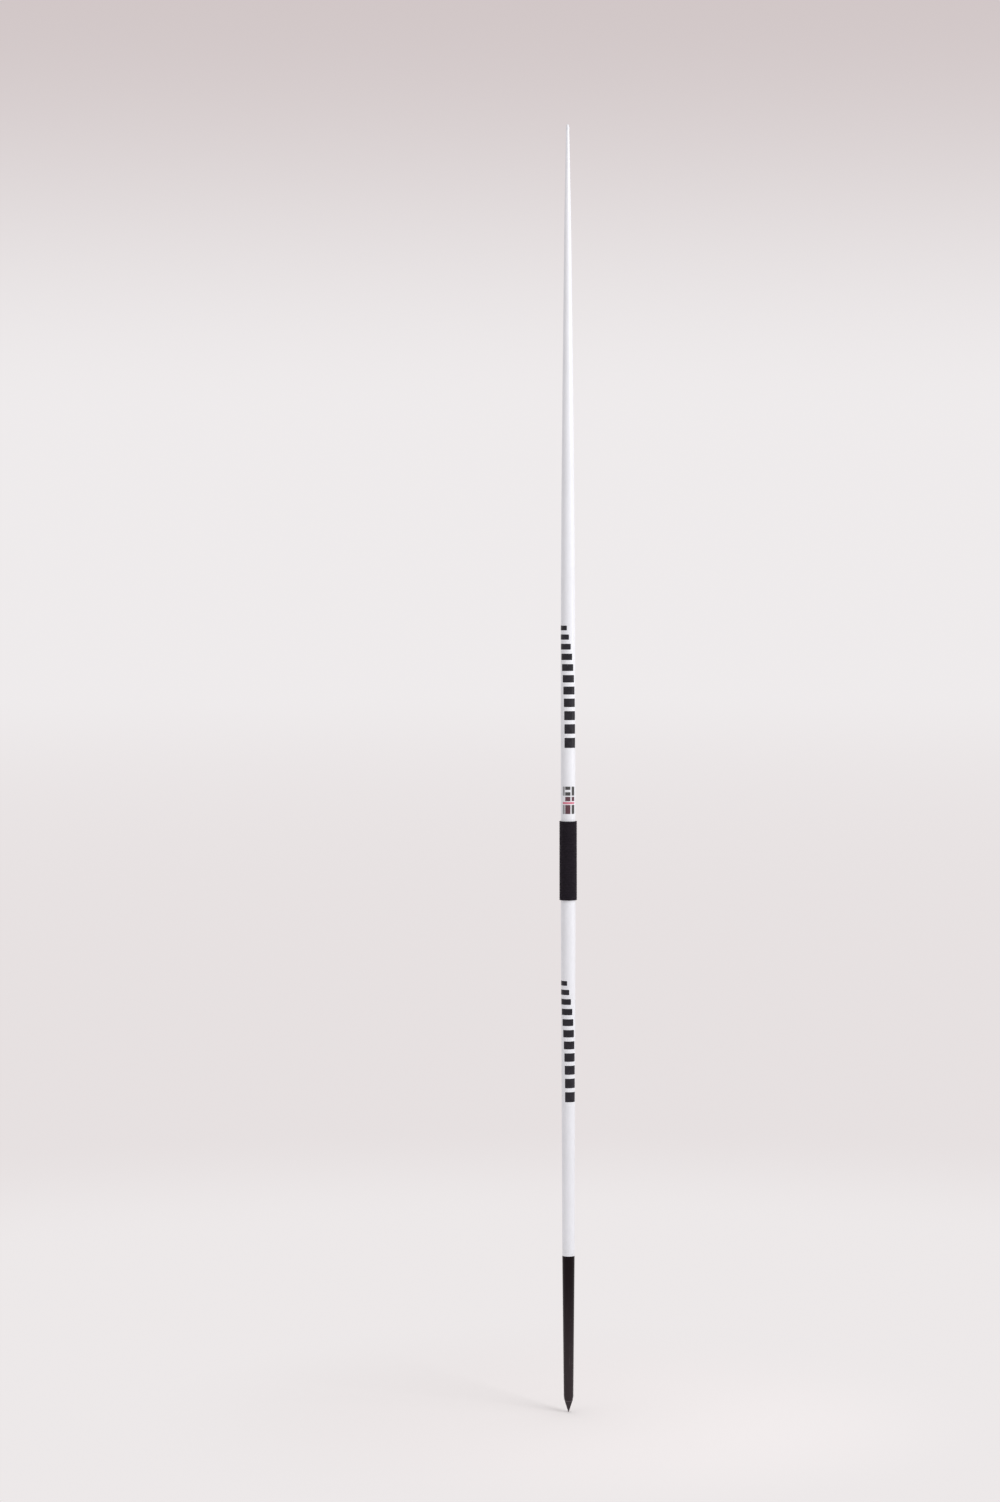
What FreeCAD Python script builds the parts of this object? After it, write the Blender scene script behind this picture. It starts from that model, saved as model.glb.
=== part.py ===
import FreeCAD, Part
import Sketcher
import math
import os
from types import SimpleNamespace

# A full-size competition javelin standing upright on its point, in millimetres.
# The origin is the tip of the point, +Z runs up the axis to the tail, and the side
# that carries the middle of the small label faces -Y.

# Each driving dimension: its name, its value and what it measures.
DIMENSIONS = (
    ("point_length", 24.0, "hardened point, tip to the front edge of the head sleeve"),
    ("point_base_diameter", 16.6, "point where it meets the head sleeve"),
    ("tip_reach", 1.0, "radius and height at which the rounded tip meets the cone"),
    ("tip_rounding", 1.2, "radius of the rounded tip"),
    ("shank_diameter", 10.0, "shank of the point, glued in the nose of the head"),
    ("nose_length", 16.0, "solid nose of the head sleeve, as long as the shank"),
    ("shoulder_length", 10.0, "rounded shoulder at the front of the head sleeve"),
    ("shoulder_diameter", 19.7, "head sleeve behind its shoulder"),
    ("shoulder_rounding", 60.0, "radius of the shoulder's curve along the axis"),
    ("head_length", 322.0, "tip to the rear edge of the head sleeve"),
    ("head_diameter", 25.3, "rear edge of the head sleeve, flush with the shaft"),
    ("head_wall", 0.7, "wall of the head sleeve"),
    ("weight_length", 13.0, "balance weight behind the nose"),
    ("weight_clearance", 0.15, "radial clearance round the balance weight"),
    ("spigot_length", 60.0, "swaged front end of the shaft inside the head"),
    ("bond_gap", 0.05, "adhesive layer between glued walls"),
    ("front_taper_length", 678.0, "straight taper of the front tube"),
    ("shaft_diameter", 29.8, "thickest stretch of the shaft"),
    ("full_diameter_length", 400.0, "thickest stretch, which holds the grip"),
    ("belly_length", 740.0, "rear stretch that starts level and curves in"),
    ("belly_end_diameter", 20.3, "shaft at the end of the curved stretch"),
    ("rear_taper_length", 270.0, "straight taper behind the curved stretch"),
    ("rear_taper_diameter", 13.9, "shaft at the end of the rear taper"),
    ("tail_taper_length", 190.0, "steeper taper to the tail end"),
    ("tail_diameter", 6.3, "shaft at the tail plug"),
    ("front_wall", 1.15, "wall of the front tube"),
    ("rear_wall", 1.3, "wall of the rear tube"),
    ("tail_plug_length", 10.0, "rounded part of the tail plug that shows"),
    ("tail_plug_rounding", 24.0, "radius of the plug's sides along the axis"),
    ("tail_plug_flat_diameter", 3.6, "blunt end of the tail plug"),
    ("tail_stem_length", 14.0, "stem of the tail plug inside the rear tube"),
    ("splice_length", 120.0, "inner sleeve that joins the two tubes"),
    ("splice_wall", 1.2, "wall of the inner sleeve"),
    ("grip_start", 49.0, "thickest stretch ahead of the grip"),
    ("grip_length", 160.0, "cord winding, edge to edge"),
    ("grip_recess", 0.2, "depth to which the shaft is turned down under the grip"),
    ("cord_diameter", 2.75, "grip cord"),
    ("underlay_thickness", 0.5, "tape under the cord"),
    ("cord_butt_gap", 1.0, "gap where the two cord lengths meet end to end"),
    ("film_lift", 0.02, "adhesive layer under a printed film"),
    ("film_thickness", 0.1, "printed film"),
    ("stripe_set_length", 247.0, "each set of printed stripes, end to end"),
    ("stripe_gap", 8.2, "bare shaft between two stripes"),
    ("front_stripe_start", 316.0, "head sleeve to the front set of stripes"),
    ("rear_stripe_start", 149.0, "grip to the rear set of stripes"),
    ("label_start", 13.5, "grip to the small label"),
    ("label_length", 59.0, "small label along the shaft"),
)

# Counts, shares and angles, which aren't lengths. Azimuths run from +X towards +Y.
FULL_TURN = 360.0
QUARTERS = 4
QUARTER_TURN = FULL_TURN / QUARTERS
TURNS_PER_CORD = 24
CLIMB_AZIMUTH = 90.0
STRIPE_COUNT = 11
STRIPE_SHRINK = 0.36
STRIPE_SPAN_DEGREES = 100.0
STRIPE_FIRST_AZIMUTH = -70.0
STRIPE_LAST_AZIMUTH = -150.0
STRIPE_DRIFT_POWER = 2.2
LABEL_SPAN_DEGREES = 110.0
LABEL_AZIMUTH = -86.0
ORIGIN = FreeCAD.Vector(0, 0, 0)
UP = FreeCAD.Vector(0, 0, 1)

# How finely the cord's gap to itself is measured, and how near a full turn away.
GAP_STEPS_PER_DIAMETER = 4
GAP_SEARCH_SHARE = 6
SAME_PLACE = 1e-6

# What a sketch calls its origin and the two ends of an edge.
ROOT_POINT = (-1, 1)
EDGE_ENDS = (1, 2)


class Size:
    """A length together with the sheet expression that gives it."""

    def __init__(self, value, text):
        self.value = value
        self.text = text

    def combine(self, sign, other, value):
        text = other.text if isinstance(other, Size) else str(other)
        return Size(value, "(" + self.text + " " + sign + " " + text + ")")

    def __add__(self, other):
        return self.combine("+", other, self.value + number(other))

    def __sub__(self, other):
        return self.combine("-", other, self.value - number(other))

    def __mul__(self, other):
        return self.combine("*", other, self.value * number(other))

    def __truediv__(self, other):
        return self.combine("/", other, self.value / number(other))


def number(thing):
    """The plain value of a Size or of a number."""
    return thing.value if isinstance(thing, Size) else thing


def make_sheet(doc):
    """Write the driving dimensions in a sheet and return them by name."""
    sheet = doc.addObject("Spreadsheet::Sheet", "Sizes")
    names = {}
    for row, (name, value, meaning) in enumerate(DIMENSIONS, start=1):
        sheet.set("A%d" % row, meaning)
        sheet.set("B%d" % row, str(value))
        sheet.setAlias("B%d" % row, name)
        names[name] = Size(value, "Sizes." + name)
    doc.recompute()
    return SimpleNamespace(**names)


def arc_middle(start, end, radius):
    """The middle of an arc between two outline points that bulges away from the axis."""
    chord = end - start
    half = chord.Length / 2
    rise = radius - math.sqrt(radius * radius - half * half)
    side = math.copysign(1.0, chord.y)
    outward = FreeCAD.Vector(chord.y * side, -chord.x * side, 0).normalize()
    return (start + end) / 2 + outward * rise


def draw_outline(sketch, corners):
    """Draw a closed outline whose corners are (radius, height) or, behind an arc,
    (radius, height, arc radius), and bind each corner to the sheet."""
    points = [FreeCAD.Vector(number(c[0]), number(c[1]), 0) for c in corners]
    ends = []
    for index, corner in enumerate(corners):
        start = points[index - 1]
        end = points[index]
        if len(corner) == 3:
            curve = Part.Arc(start, arc_middle(start, end, corner[2].value), end)
        else:
            curve = Part.LineSegment(start, end)
        edge = sketch.addGeometry(curve, False)
        forward = sketch.getPoint(edge, EDGE_ENDS[0]).distanceToPoint(start) < SAME_PLACE
        ends.append(EDGE_ENDS if forward else EDGE_ENDS[::-1])
    for index, corner in enumerate(corners):
        following = (index + 1) % len(corners)
        here = ends[index][1]
        sketch.addConstraint(Sketcher.Constraint("Coincident", index, here, following,
                                                 ends[following][0]))
        fix_to_axis(sketch, "DistanceX", index, here, corner[0])
        fix_to_axis(sketch, "DistanceY", index, here, corner[1])
        if len(corner) == 3:
            fixed = sketch.addConstraint(Sketcher.Constraint("Radius", index, corner[2].value))
            sketch.setExpression("Constraints[%d]" % fixed, corner[2].text)


def fix_to_axis(sketch, direction, edge, end, distance):
    """Hold one end of an edge at a distance from an axis of the sketch, or on it."""
    if not isinstance(distance, Size):
        # A sketch calls its level axis -1 and its upright axis -2.
        axis = -2 if direction == "DistanceX" else -1
        sketch.addConstraint(Sketcher.Constraint("PointOnObject", edge, end, axis))
        return
    fixed = sketch.addConstraint(
        Sketcher.Constraint(direction, *ROOT_POINT, edge, end, distance.value))
    sketch.setExpression("Constraints[%d]" % fixed, distance.text)


def turned_body(doc, label, corners):
    """A body of revolution about the javelin's axis."""
    body = doc.addObject("PartDesign::Body", label)
    body.Label = label
    sketch = body.newObject("Sketcher::SketchObject", label + "_outline")
    plane = [f for f in body.Origin.OriginFeatures if f.Role == "XZ_Plane"][0]
    sketch.AttachmentSupport = [(plane, "")]
    sketch.MapMode = "FlatFace"
    draw_outline(sketch, corners)
    turn = body.newObject("PartDesign::Revolution", label + "_turn")
    turn.Profile = sketch
    turn.ReferenceAxis = (sketch, ["V_Axis"])
    turn.Angle = FULL_TURN
    doc.recompute()
    return body


def raise_to(piece, height):
    """Place a piece at a height on the axis, bound to the sheet."""
    piece.Placement = FreeCAD.Placement(UP * height.value, FreeCAD.Rotation())
    piece.setExpression("Placement.Base.z", height.text)
    return piece


def on_line(height, low, low_radius, high, high_radius):
    """The radius at a height on the straight taper between two heights."""
    return low_radius + (high_radius - low_radius) * (height - low) / (high - low)


def level_arc_radius(length, drop):
    """The radius of an arc that starts level and falls by a drop over a length."""
    return (length * length + drop * drop) / (drop * 2)


def lay_out(d):
    """Work out the heights and radii that several pieces share."""
    p = SimpleNamespace()
    p.head_end = d.head_length
    p.nose_end = d.point_length + d.nose_length
    p.shoulder = d.point_length + d.shoulder_length
    p.spigot_end = d.head_length - d.spigot_length
    p.full_start = d.head_length + d.front_taper_length
    p.full_end = p.full_start + d.full_diameter_length
    p.belly_end = p.full_end + d.belly_length
    p.rear_taper_end = p.belly_end + d.rear_taper_length
    p.tail_end = p.rear_taper_end + d.tail_taper_length
    p.grip_low = p.full_start + d.grip_start
    p.grip_high = p.grip_low + d.grip_length
    p.joint = p.grip_low + d.grip_length / 2
    p.shoulder_radius = d.shoulder_diameter / 2
    p.head_radius = d.head_diameter / 2
    p.shaft_radius = d.shaft_diameter / 2
    p.belly_radius = d.belly_end_diameter / 2
    p.taper_radius = d.rear_taper_diameter / 2
    p.tail_radius = d.tail_diameter / 2
    p.belly_curve = level_arc_radius(d.belly_length, p.shaft_radius - p.belly_radius)
    p.taper_rise = p.shaft_radius - p.head_radius
    p.recess_radius = p.shaft_radius - d.grip_recess
    p.underlay_radius = p.recess_radius + d.bond_gap + d.underlay_thickness
    p.cord_path_radius = p.underlay_radius + d.bond_gap + d.cord_diameter / 2
    rows = 2 * TURNS_PER_CORD
    p.cord_pitch = (d.grip_length - d.cord_diameter) / (rows - 1)
    return p


def sleeve_bore_radius(d, p, height):
    """The inner radius of the head sleeve's tapered wall at a height."""
    outer = on_line(height, p.shoulder, p.shoulder_radius, d.head_length, p.head_radius)
    return outer - d.head_wall


def make_point(doc, d, p):
    """The hardened steel point: a cone with a rounded tip, and its shank."""
    shank = d.shank_diameter / 2
    return turned_body(doc, "point", [
        (0, 0),
        (d.tip_reach, d.tip_reach, d.tip_rounding),
        (d.point_base_diameter / 2, d.point_length),
        (shank, d.point_length),
        (shank, p.nose_end),
        (0, p.nose_end),
    ])


def make_head_sleeve(doc, d, p):
    """The steel head: a short solid nose round the shank and a long thin wall."""
    bore = d.shank_diameter / 2 + d.bond_gap
    return turned_body(doc, "head_sleeve", [
        (bore, d.point_length),
        (d.point_base_diameter / 2, d.point_length),
        (p.shoulder_radius, p.shoulder, d.shoulder_rounding),
        (p.head_radius, d.head_length),
        (p.head_radius - d.head_wall, d.head_length),
        (sleeve_bore_radius(d, p, p.nose_end), p.nose_end),
        (bore, p.nose_end),
    ])


def make_balance_weight(doc, d, p):
    """The slug behind the nose that brings the javelin to its mass and balance."""
    weight = doc.addObject("Part::Cylinder", "balance_weight")
    weight.Label = "balance_weight"
    radius = sleeve_bore_radius(d, p, p.nose_end) - d.weight_clearance
    weight.setExpression("Radius", radius.text)
    weight.setExpression("Height", d.weight_length.text)
    return raise_to(weight, p.nose_end)


def make_front_tube(doc, d, p):
    """The front tube: swaged in at its front end, tapering up to full diameter."""
    spigot_front = sleeve_bore_radius(d, p, p.spigot_end) - d.bond_gap
    spigot_rear = p.head_radius - d.head_wall - d.bond_gap
    swage_end = d.head_length + d.front_wall
    return turned_body(doc, "front_tube", [
        (spigot_front, p.spigot_end),
        (spigot_rear, d.head_length),
        (p.head_radius, d.head_length),
        (p.shaft_radius, p.full_start),
        (p.shaft_radius, p.grip_low),
        (p.recess_radius, p.grip_low),
        (p.recess_radius, p.joint),
        (p.shaft_radius - d.front_wall, p.joint),
        (p.shaft_radius - d.front_wall, p.full_start),
        (p.head_radius - d.front_wall, swage_end),
        (spigot_rear - d.front_wall, d.head_length),
        (spigot_front - d.front_wall, p.spigot_end),
    ])


def make_splice_sleeve(doc, d, p):
    """The inner sleeve that joins the two tubes, stepped to suit their two bores."""
    in_front = p.shaft_radius - d.front_wall - d.bond_gap
    in_rear = p.shaft_radius - d.rear_wall - d.bond_gap
    bore = in_rear - d.splice_wall
    sleeve = turned_body(doc, "splice_sleeve", [
        (bore, 0),
        (in_front, 0),
        (in_front, d.splice_length / 2),
        (in_rear, d.splice_length / 2),
        (in_rear, d.splice_length),
        (bore, d.splice_length),
    ])
    return raise_to(sleeve, p.joint - d.splice_length / 2)


def make_rear_tube(doc, d, p):
    """The rear tube: full diameter, then curving and tapering in to the tail."""
    wall = d.rear_wall
    return turned_body(doc, "rear_tube", [
        (p.recess_radius, p.joint),
        (p.recess_radius, p.grip_high),
        (p.shaft_radius, p.grip_high),
        (p.shaft_radius, p.full_end),
        (p.belly_radius, p.belly_end, p.belly_curve),
        (p.taper_radius, p.rear_taper_end),
        (p.tail_radius, p.tail_end),
        (p.tail_radius - wall, p.tail_end),
        (p.taper_radius - wall, p.rear_taper_end),
        (p.belly_radius - wall, p.belly_end),
        (p.shaft_radius - wall, p.full_end, p.belly_curve),
        (p.shaft_radius - wall, p.joint),
    ])


def make_tail_plug(doc, d, p):
    """The blunt plug that closes the tail, with its stem in the rear tube."""
    stem = p.tail_radius - d.rear_wall - d.bond_gap
    stem_base = p.tail_end - d.tail_stem_length
    plug_end = p.tail_end + d.tail_plug_length
    return turned_body(doc, "tail_plug", [
        (0, stem_base),
        (stem, stem_base),
        (stem, p.tail_end),
        (p.tail_radius, p.tail_end),
        (d.tail_plug_flat_diameter / 2, plug_end, d.tail_plug_rounding),
        (0, plug_end),
    ])


def make_grip_underlay(doc, d, p):
    """The tape wrapped round the shaft under the cord."""
    inner = p.recess_radius + d.bond_gap
    length = d.grip_length - d.cord_diameter
    underlay = turned_body(doc, "grip_underlay", [
        (inner, 0),
        (p.underlay_radius, 0),
        (p.underlay_radius, length),
        (inner, length),
    ])
    return raise_to(underlay, p.grip_low + d.cord_diameter / 2)


def lay_point(radius, height, azimuth, slope=0.0):
    """A place on the cord's path and the direction in which the cord runs there."""
    across = math.radians(azimuth)
    climb = math.radians(slope)
    place = FreeCAD.Vector(radius * math.cos(across), radius * math.sin(across), height)
    run = FreeCAD.Vector(-math.sin(across) * math.cos(climb),
                         math.cos(across) * math.cos(climb), math.sin(climb))
    return place, run


def arc_towards(start, corner, end):
    """The arc from start to end whose end tangents cross at the corner."""
    half = (end - start).Length / 2
    turn = math.acos(min(1.0, half / (corner - start).Length))
    chord_middle = (start + end) / 2
    depth = math.tan(turn / 2) / math.tan(turn)
    return Part.Arc(start, chord_middle + (corner - chord_middle) * depth, end)


def biarc(start, end):
    """Two arcs that join two places of the path and run on from each other smoothly."""
    chord = end[0] - start[0]
    along = chord.dot(start[1] + end[1])
    opening = 2 * (1 - start[1].dot(end[1]))
    reach = (math.sqrt(along * along + opening * chord.dot(chord)) - along) / opening
    first = start[0] + start[1] * reach
    second = end[0] - end[1] * reach
    middle = (first + second) / 2
    return [arc_towards(start[0], first, middle), arc_towards(middle, second, end[0])]


def cord_curves(d, p, climbs_in, climbs_out):
    """The path of one cord: level turns that each climb by a pitch in one quarter.

    Row 0 is at height 0. A cord that climbs in or out starts or ends half way
    through the climb that it shares with the other cord, where the two ends meet.
    """
    radius = p.cord_path_radius.value
    pitch = p.cord_pitch.value
    straight = d.cord_diameter.value
    climb_reach = radius * math.tan(math.radians(QUARTER_TURN / 4))
    slope = math.degrees(math.atan(pitch / (2 * climb_reach)))
    run = straight + d.cord_butt_gap.value / 2
    run_angle = math.degrees(run / radius)
    run_rise = run * math.sin(math.radians(slope))
    row_start = CLIMB_AZIMUTH + QUARTER_TURN / 2
    stations = []
    if climbs_in:
        azimuth = CLIMB_AZIMUTH + run_angle
        stations.append(lay_point(radius, run_rise - pitch / 2, azimuth, slope))
    for row in range(TURNS_PER_CORD):
        for quarter in range(QUARTERS):
            azimuth = row_start + QUARTER_TURN * quarter
            stations.append(lay_point(radius, row * pitch, azimuth))
    if climbs_out:
        azimuth = CLIMB_AZIMUTH - run_angle
        top = (TURNS_PER_CORD - 0.5) * pitch
        stations.append(lay_point(radius, top - run_rise, azimuth, slope))
    first, first_run = stations[0]
    last, last_run = stations[-1]
    curves = [Part.LineSegment(first - first_run * straight, first)]
    for start, end in zip(stations, stations[1:]):
        curves.extend(biarc(start, end))
    curves.append(Part.LineSegment(last, last + last_run * straight))
    return curves


def least_gap(curves, diameter, turn_length):
    """The least gap between neighbouring turns, measured on points of the path."""
    step = diameter / GAP_STEPS_PER_DIAMETER
    points = []
    for curve in curves:
        count = max(2, int(curve.length() / step))
        points.extend(curve.toShape().discretize(Number=count)[:-1])
    nearest = float("inf")
    spacing = sum(c.length() for c in curves) / len(points)
    turn = int(turn_length / spacing)
    reach = turn // GAP_SEARCH_SHARE
    for index, place in enumerate(points):
        for other in points[index + turn - reach:index + turn + reach]:
            nearest = min(nearest, place.distanceToPoint(other))
    return nearest - diameter


def make_grip_cord(doc, d, p, label, first_row, climbs_in, climbs_out):
    """One length of the grip cord as one unbroken tube."""
    curves = cord_curves(d, p, climbs_in, climbs_out)
    radius = d.cord_diameter.value / 2
    path = Part.Wire([curve.toShape() for curve in curves])
    start = path.OrderedVertexes[0].Point
    section = Part.Wire([Part.Circle(start, curves[0].tangent(0)[0], radius).toShape()])
    cord = doc.addObject("Part::Feature", label)
    cord.Label = label
    cord.Shape = path.makePipeShell([section], True, False)
    raise_to(cord, p.grip_low + d.cord_diameter / 2 + p.cord_pitch * first_row)
    turn_length = 2 * math.pi * p.cord_path_radius.value
    gap = least_gap(curves, d.cord_diameter.value, turn_length)
    swept = path.Length * math.pi * radius * radius
    print("%s: %d turns, least gap %.3f mm" % (label, TURNS_PER_CORD, gap))
    print("%s: volume %.1f, section times length %.1f" % (label, cord.Shape.Volume, swept))
    return cord


def shaft_radius_at(p, height):
    """The shaft's outer radius at a height between the head and the rear taper."""
    if height < p.full_start.value:
        below = (p.full_start.value - height) / (p.full_start - p.head_end).value
        return p.shaft_radius.value - p.taper_rise.value * below
    if height < p.full_end.value:
        return p.shaft_radius.value
    curve = p.belly_curve.value
    along = height - p.full_end.value
    return p.shaft_radius.value - curve + math.sqrt(curve * curve - along * along)


def film_patch(d, p, low, high, azimuth, span):
    """A thin patch of film on the shaft between two heights, centred on an azimuth."""
    corners = []
    for height, layer in ((low, 0), (low, 1), (high, 1), (high, 0)):
        radius = shaft_radius_at(p, height) + d.film_lift.value
        radius += layer * d.film_thickness.value
        corners.append(FreeCAD.Vector(radius, 0, height))
    face = Part.Face(Part.makePolygon(corners + corners[:1]))
    patch = face.revolve(ORIGIN, UP, span)
    patch.rotate(ORIGIN, UP, azimuth - span / 2)
    return patch


def make_stripes(doc, d, p, label, start):
    """A set of plain stripes that shorten towards the tail and drift round the shaft."""
    bare = d.stripe_gap.value * (STRIPE_COUNT - 1)
    mean = (d.stripe_set_length.value - bare) / STRIPE_COUNT
    patches = []
    low = start.value
    for index in range(STRIPE_COUNT):
        part = index / (STRIPE_COUNT - 1)
        length = mean * (1 + STRIPE_SHRINK * (1 - 2 * part))
        drift = part ** STRIPE_DRIFT_POWER
        azimuth = STRIPE_FIRST_AZIMUTH + drift * (STRIPE_LAST_AZIMUTH - STRIPE_FIRST_AZIMUTH)
        patches.append(film_patch(d, p, low, low + length, azimuth, STRIPE_SPAN_DEGREES))
        low += length + d.stripe_gap.value
    stripes = doc.addObject("Part::Feature", label)
    stripes.Label = label
    stripes.Shape = Part.makeCompound(patches)
    return stripes


def make_class_label(doc, d, p):
    """The small label between the grip and the rear stripes."""
    low = p.grip_high.value + d.label_start.value
    label = doc.addObject("Part::Feature", "class_label")
    label.Label = "class_label"
    label.Shape = film_patch(d, p, low, low + d.label_length.value,
                             LABEL_AZIMUTH, LABEL_SPAN_DEGREES)
    return label


def build(doc):
    """Make every piece of the javelin and return them."""
    d = make_sheet(doc)
    p = lay_out(d)
    pieces = [
        make_point(doc, d, p),
        make_head_sleeve(doc, d, p),
        make_balance_weight(doc, d, p),
        make_front_tube(doc, d, p),
        make_splice_sleeve(doc, d, p),
        make_rear_tube(doc, d, p),
        make_tail_plug(doc, d, p),
        make_grip_underlay(doc, d, p),
        make_grip_cord(doc, d, p, "front_grip_cord", 0, False, True),
        make_grip_cord(doc, d, p, "rear_grip_cord", TURNS_PER_CORD, True, False),
        make_stripes(doc, d, p, "front_stripes", d.head_length + d.front_stripe_start),
        make_stripes(doc, d, p, "rear_stripes", p.grip_high + d.rear_stripe_start),
        make_class_label(doc, d, p),
    ]
    doc.recompute()
    return pieces


def check(doc, pieces):
    """Stop if any object failed or any piece has no sound shape."""
    for item in doc.Objects:
        if "Invalid" in item.State or "Error" in item.State:
            raise RuntimeError(item.Name + " failed: " + ", ".join(item.State))
    for piece in pieces:
        if piece.Shape.isNull() or not piece.Shape.isValid():
            raise RuntimeError(piece.Label + " has no sound shape")


def main():
    doc = FreeCAD.newDocument("javelin")
    pieces = build(doc)
    check(doc, pieces)
    os.makedirs("parts", exist_ok=True)
    for piece in pieces:
        piece.Shape.exportStep("parts/" + piece.Label + ".step")
        print("%s: %d solid(s), %.1f mm3" % (piece.Label, len(piece.Shape.Solids),
                                            piece.Shape.Volume))


main()
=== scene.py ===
import math

import bmesh
import bpy
import numpy as np
from mathutils import Matrix, Vector


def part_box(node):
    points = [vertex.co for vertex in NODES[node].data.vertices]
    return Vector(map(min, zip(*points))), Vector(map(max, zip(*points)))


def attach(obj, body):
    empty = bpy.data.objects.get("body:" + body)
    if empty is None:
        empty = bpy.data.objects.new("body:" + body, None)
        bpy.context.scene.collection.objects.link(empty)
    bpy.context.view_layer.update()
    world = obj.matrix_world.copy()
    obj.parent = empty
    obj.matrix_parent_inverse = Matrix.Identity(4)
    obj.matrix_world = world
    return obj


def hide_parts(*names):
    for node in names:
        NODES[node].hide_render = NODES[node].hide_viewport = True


# A competition javelin standing on its point before a pale studio backdrop. All
# lengths are in metres, +Z runs up the shaft and the camera looks along +Y.

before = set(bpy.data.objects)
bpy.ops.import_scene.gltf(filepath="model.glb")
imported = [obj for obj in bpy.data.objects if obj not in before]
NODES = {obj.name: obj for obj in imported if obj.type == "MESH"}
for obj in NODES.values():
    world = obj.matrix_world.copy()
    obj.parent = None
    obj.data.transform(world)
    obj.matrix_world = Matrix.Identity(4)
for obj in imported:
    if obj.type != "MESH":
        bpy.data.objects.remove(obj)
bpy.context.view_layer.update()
MM = 0.001

# Heights along the shaft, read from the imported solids.
HEAD_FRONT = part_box("head_sleeve")[0].z
HEAD_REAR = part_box("head_sleeve")[1].z
SPIGOT_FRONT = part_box("front_tube")[0].z
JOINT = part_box("front_tube")[1].z
SHANK_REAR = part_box("point")[1].z
TAIL_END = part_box("rear_tube")[1].z
PLUG_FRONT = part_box("tail_plug")[0].z
PLUG_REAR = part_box("tail_plug")[1].z
TAPE_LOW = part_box("grip_underlay")[0].z
TAPE_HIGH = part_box("grip_underlay")[1].z
LABEL_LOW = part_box("class_label")[0].z
LABEL_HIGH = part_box("class_label")[1].z
FRONT_STRIPES_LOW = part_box("front_stripes")[0].z
REAR_STRIPES_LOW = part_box("rear_stripes")[0].z

# Radii and lengths that the boxes don't give.
SHAFT_RADIUS = 14.9 * MM
RECESS_RADIUS = 14.7 * MM
HEAD_REAR_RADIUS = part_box("head_sleeve")[1].x
SHOULDER_RADIUS = 9.85 * MM
SHOULDER_LENGTH = 10.0 * MM
SHOULDER_ROUNDING = 60.0 * MM
POINT_BASE_RADIUS = 8.3 * MM
SHANK_RADIUS = 5.0 * MM
TIP_REACH = 1.0 * MM
TIP_ROUNDING = 1.2 * MM
HEAD_WALL = 0.7 * MM
FRONT_WALL = 1.15 * MM
REAR_WALL = 1.3 * MM
BOND = 0.05 * MM
FULL_START = 1000.0 * MM
FULL_END = 1400.0 * MM
BELLY_END = 2140.0 * MM
BELLY_END_RADIUS = 10.15 * MM
REAR_TAPER_END = 2410.0 * MM
REAR_TAPER_RADIUS = 6.95 * MM
TAIL_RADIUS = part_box("tail_plug")[1].x
TAIL_STEM_RADIUS = TAIL_RADIUS - REAR_WALL - BOND
TAIL_ROUNDING = 24.0 * MM
TAIL_FLAT_RADIUS = 1.8 * MM
TAPE_INNER = 14.75 * MM
TAPE_OUTER = 15.25 * MM
TAPE_STEP = 0.1 * MM
TAPE_WIDTH = 19.0 * MM
GRIP_HALF_RECESS = 1.375 * MM
FILM_LIFT = 0.02 * MM
FILM_THICKNESS = 0.1 * MM

# The grip cord: two lengths of 24 turns, level but for a climb at the back of each turn.
TURNS_PER_CORD = 24
ROW_START = math.radians(135)
CORD_PATH_RADIUS = 16.675 * MM
CORD_HALF_THICKNESS = 1.375 * MM
CORD_HALF_WIDTH = 1.6 * MM
CORD_BUTT_GAP = 1.0 * MM
CORD_TAIL = 2.75 * MM
CLIMB_SHARE = 0.25
STRAND_COUNT = 3
STRAND_RADIUS = 0.7 * MM
STRAND_END_SHARE = 0.6
STRAND_LAY = 8.4 * MM
STRAND_SIDES = 8
STEPS_PER_LAY = 11
YARNS_PER_STRAND = 5
YARN_LAY = 3.2 * MM

# The two sets of plain stripes and the small label.
STRIPE_COUNT = 11
STRIPE_MEAN = 15.0 * MM
STRIPE_SHRINK = 0.36
STRIPE_GAP = 8.2 * MM
STRIPE_SPAN = math.radians(100)
STRIPE_FIRST_AZIMUTH = math.radians(-70)
STRIPE_LAST_AZIMUTH = math.radians(-150)
STRIPE_DRIFT_POWER = 2.2
STRIPE_CORNER = 1.4 * MM
LABEL_SPAN = math.radians(110)
LABEL_AZIMUTH = math.radians(-86)
LABEL_CORNER = 2.0 * MM
FRONT_DEGREES = -90
PRINT_CORNER = 0.6 * MM
PRINT_LIFT = 0.012 * MM
PRINT_THICKNESS = 0.03 * MM

# How finely round pieces are divided, and what counts as on the axis, straight or sharp.
ON_AXIS = 1e-7
STRAIGHT_ANGLE = math.radians(5)
LARGEST_SOFT_SHARE = 0.4
TURN_SIDES = 128
LONGEST_RING_GAP = 30.0 * MM
EDGE_SOFTNESS = 0.18 * MM
SOFT_EDGE_STEPS = 4
ARC_STEPS = 8
SHARP_ANGLE = math.radians(40)


def arc_points(start, end, radius, steps):
    """Outline points after start on an arc to end that bulges away from the axis."""
    chord = end - start
    rise = radius - math.sqrt(radius ** 2 - (chord.length / 2) ** 2)
    outward = Vector((chord.y, -chord.x)).normalized()
    centre = (start + end) / 2 + outward * (rise - radius)
    first = math.atan2(start.y - centre.y, start.x - centre.x)
    last = math.atan2(end.y - centre.y, end.x - centre.x)
    points = []
    for step in range(1, steps + 1):
        angle = first + (last - first) * step / steps
        points.append(centre + Vector((math.cos(angle), math.sin(angle))) * radius)
    return points


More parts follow.
